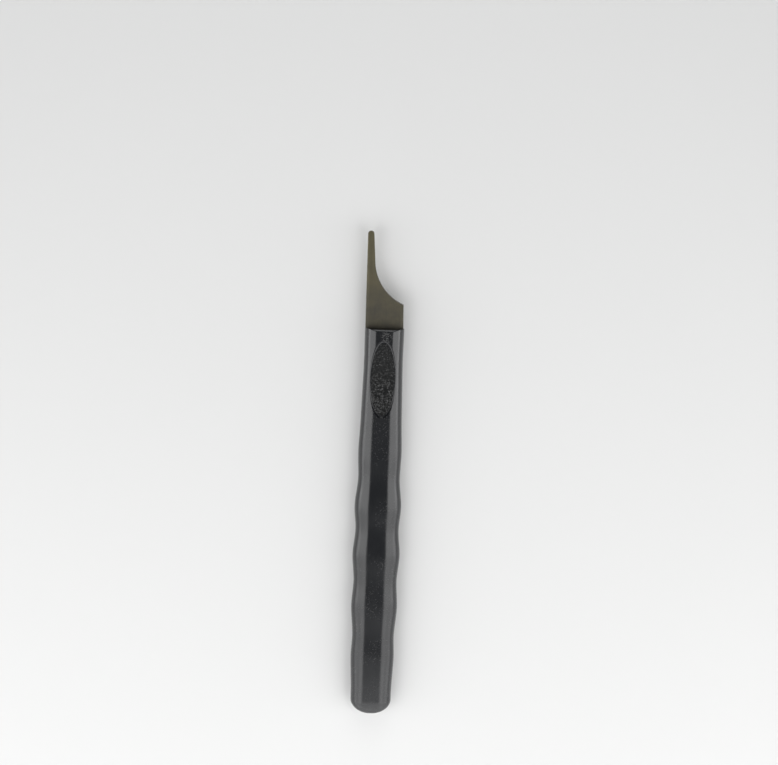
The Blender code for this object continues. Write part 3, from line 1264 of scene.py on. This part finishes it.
@dataclass(frozen=True)
class DeburringTool:
    """The whole tool: the blade and the handle moulded round its tang."""

    handle: Handle = Handle()
    blade: Blade = Blade()
    lightening_start: float = 5.0 * MM  # from the handle's end to where the steel starts to lighten towards the tip
    smooth_angle: float = math.radians(32.0)  # edges that turn more than this stay sharp

    def seat_piece(self, piece: Object, slot: Slot, *nodes: str) -> None:
        """Move a piece's mesh so that the tool's middle lies over the origin, and ride it on the body.

        Args:
            piece: The finished piece.
            slot: Not used.
            nodes: The frame's nodes that it stands for.
        """
        piece.data.transform(Matrix.Translation((0.0, -self.blade.tool_length / 2.0, 0.0)))
        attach(piece, BODY)
        if nodes:
            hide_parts(*nodes)
        LOG.info("%s: %d faces", piece.name, len(piece.data.polygons))

    def build_handle(self) -> None:
        """Build the moulding and everything on it."""
        gloss = BlackPlastic().material()
        grained = GrainedPlastic().material()
        shell = self.handle.shell(gloss)
        for face in Face:
            subtract(shell, self.handle.recess.plug(face))
        subtract(shell, self.blade.socket())
        builder = bmesh.new()
        builder.from_mesh(shell.data)
        bmesh.ops.recalc_face_normals(builder, faces=builder.faces)
        builder.to_mesh(shell.data)
        builder.free()
        paint(shell, gloss)
        shade(shell, self.smooth_angle)
        self.seat_piece(shell, Slot.PLASTIC, "handle")
        trim = [self.handle.grain.build(grained, face) for face in Face]
        for piece in [*trim, self.handle.bead(gloss)]:
            piece.data.shade_smooth()
            self.seat_piece(piece, Slot.PLASTIC)

    def build_blade(self) -> None:
        """Build the plate."""
        center = self.blade.hook_center()
        tip = self.blade.tool_length / 2.0
        seat = self.blade.handle_length - tip
        hook = Vector((center.x, seat + center.y, 0.0))
        steel = BlackenedSteel(hook, self.blade.hook_radius, (seat + self.lightening_start, tip))
        piece = self.blade.build()
        paint(piece, steel.material())
        shade(piece, self.smooth_angle)
        self.seat_piece(piece, Slot.STEEL, "blade")


# The studio


@dataclass(frozen=True)
class SoftBox:
    """One soft box, which faces the tool."""

    name: str
    compass: float  # which side of the tool it hangs on, from +X
    tilt: float  # how far its middle is off the vertical
    span: float  # how much of the sky it covers from its upper edge to its lower one
    length: float  # of its level side
    radiance: float  # how bright its face is, where 1 is white
    slide: float = 0.0  # how far it is moved towards the blade
    distance: float = 0.6  # from the tool to its middle

    def build(self) -> None:
        """Hang the box, out of the camera's sight."""
        light = bpy.data.lights.new(self.name, "AREA")
        light.shape = "RECTANGLE"
        light.size = self.length
        light.size_y = 2.0 * self.distance * math.tan(math.radians(self.span) / 2.0)
        light.energy = self.radiance * math.pi * light.size * light.size_y
        lamp = put_in_scene(self.name, light)
        tilt, compass = math.radians(self.tilt), math.radians(self.compass)
        level = math.sin(tilt)
        away = Vector((level * math.cos(compass), level * math.sin(compass), math.cos(tilt)))
        lamp.location = away * self.distance + Vector((0.0, self.slide, 0.0))
        lamp.rotation_euler = away.to_track_quat("Z", "Y").to_euler()
        lamp.visible_camera = False


def studio_boxes() -> tuple[SoftBox, ...]:
    """The studio's soft boxes, which stand in a ring with a dark gap where the camera hangs.

    Returns:
        One box beyond the butt with a dim strip over it, one beyond the blade, and on each side a high
        box with low strips, a box further back, and at the corner a low box with a small one over it.
    """
    boxes = [
        SoftBox("butt_box", -90.0, 57.3, 65.0, 0.66, 1.65),
        SoftBox("butt_edge", -90.0, 22.8, 4.0, 0.5, 0.3),
        SoftBox("blade_box", 90.0, 62.0, 50.0, 0.4, 1.6),
    ]
    for side, compass, corner in (("right", 0.0, -47.0), ("left", 180.0, -133.0)):
        boxes += [
            SoftBox(f"{side}_box", compass, 43.0, 54.0, 0.21, 2.5, slide=-0.045),
            SoftBox(f"{side}_strip", compass, 79.5, 19.0, 0.135, 3.4, slide=-0.0075),
            SoftBox(f"{side}_edge", compass, 73.0, 6.0, 0.075, 3.4, slide=-0.1125),
            SoftBox(f"{side}_low", compass, 82.5, 13.0, 0.075, 1.8, slide=-0.1125),
            SoftBox(f"{side}_rear", compass, 52.5, 73.0, 0.22, 1.7, slide=-0.26),
            SoftBox(f"{side}_corner", corner, 77.5, 24.0, 0.42, 1.8),
            SoftBox(f"{side}_filler", corner, 52.5, 25.0, 0.17, 1.7),
        ]
    return tuple(boxes)


@dataclass(frozen=True)
class Studio:
    """A pale floor under soft boxes, in a dim room."""

    boxes: tuple[SoftBox, ...] = studio_boxes()
    floor_size: float = 6.0
    floor_drop: float = 0.01 * MM  # how far the floor lies under the tool
    room_color: Color = (0.92, 0.96, 1.0, 1.0)
    room_light: float = 0.1

    def build(self) -> None:
        """Set up the floor, the boxes and the room's own light."""
        builder = bmesh.new()
        bmesh.ops.create_grid(builder, x_segments=1, y_segments=1, size=self.floor_size / 2.0)
        floor = object_from("floor", builder)
        floor.data.transform(Matrix.Translation((0.0, 0.0, -self.floor_drop)))
        paint(floor, PalePaper().material())
        for box in self.boxes:
            box.build()
        world = bpy.data.worlds.new("room")
        bpy.context.scene.world = world
        world.use_nodes = True
        background = world.node_tree.nodes["Background"]
        background.inputs["Color"].default_value = self.room_color
        background.inputs["Strength"].default_value = self.room_light


@dataclass(frozen=True)
class PhotoCamera:
    """The camera where the photograph was taken from, over the blade's end, looking a little down."""

    image_width: float = 778.0  # in pixels
    focal_pixels: float = 2300.0  # the focal length, in the same pixels
    sensor_width: float = 36.0  # in millimetres, as Blender takes it
    pitch: float = math.radians(8.5)  # how far it looks down from square on
    lean: float = math.radians(2.194)  # how far the tool leans to the right in the picture
    distance: float = 691.8 * MM  # from the tool's middle plane
    foot_across: float = -2.016 * MM  # where it stands over the tool, from its axis
    foot_along: float = 207.3 * MM  # the same, from the butt

    def build(self, tool: DeburringTool) -> None:
        """Set up the camera.

        Args:
            tool: The tool that it looks at.
        """
        data = bpy.data.cameras.new("photo_camera")
        data.sensor_width = self.sensor_width
        data.lens = data.sensor_width * self.focal_pixels / self.image_width
        camera = put_in_scene("photo_camera", data)
        bpy.context.scene.camera = camera
        picture_up = Vector((-math.sin(self.lean), math.cos(self.lean), 0.0))
        right = Vector((math.cos(self.lean), math.sin(self.lean), 0.0))
        up = picture_up * math.cos(self.pitch) - Vector((0.0, 0.0, math.sin(self.pitch)))
        back = picture_up * math.sin(self.pitch) + Vector((0.0, 0.0, math.cos(self.pitch)))
        along = self.foot_along - tool.blade.tool_length / 2.0
        height = tool.handle.form.thickness / 2.0 + self.distance
        turned = Matrix((right, up, back)).transposed().to_4x4()
        camera.matrix_world = Matrix.Translation((self.foot_across, along, height)) @ turned


def main() -> None:
    """Build the tool and its studio."""
    logging.basicConfig(level=logging.INFO, format="%(name)s %(message)s")
    tool = DeburringTool()
    tool.build_blade()
    tool.build_handle()
    Studio().build()
    PhotoCamera().build(tool)
    bpy.context.scene.view_settings.view_transform = "Standard"


if __name__ == "__main__":
    main()
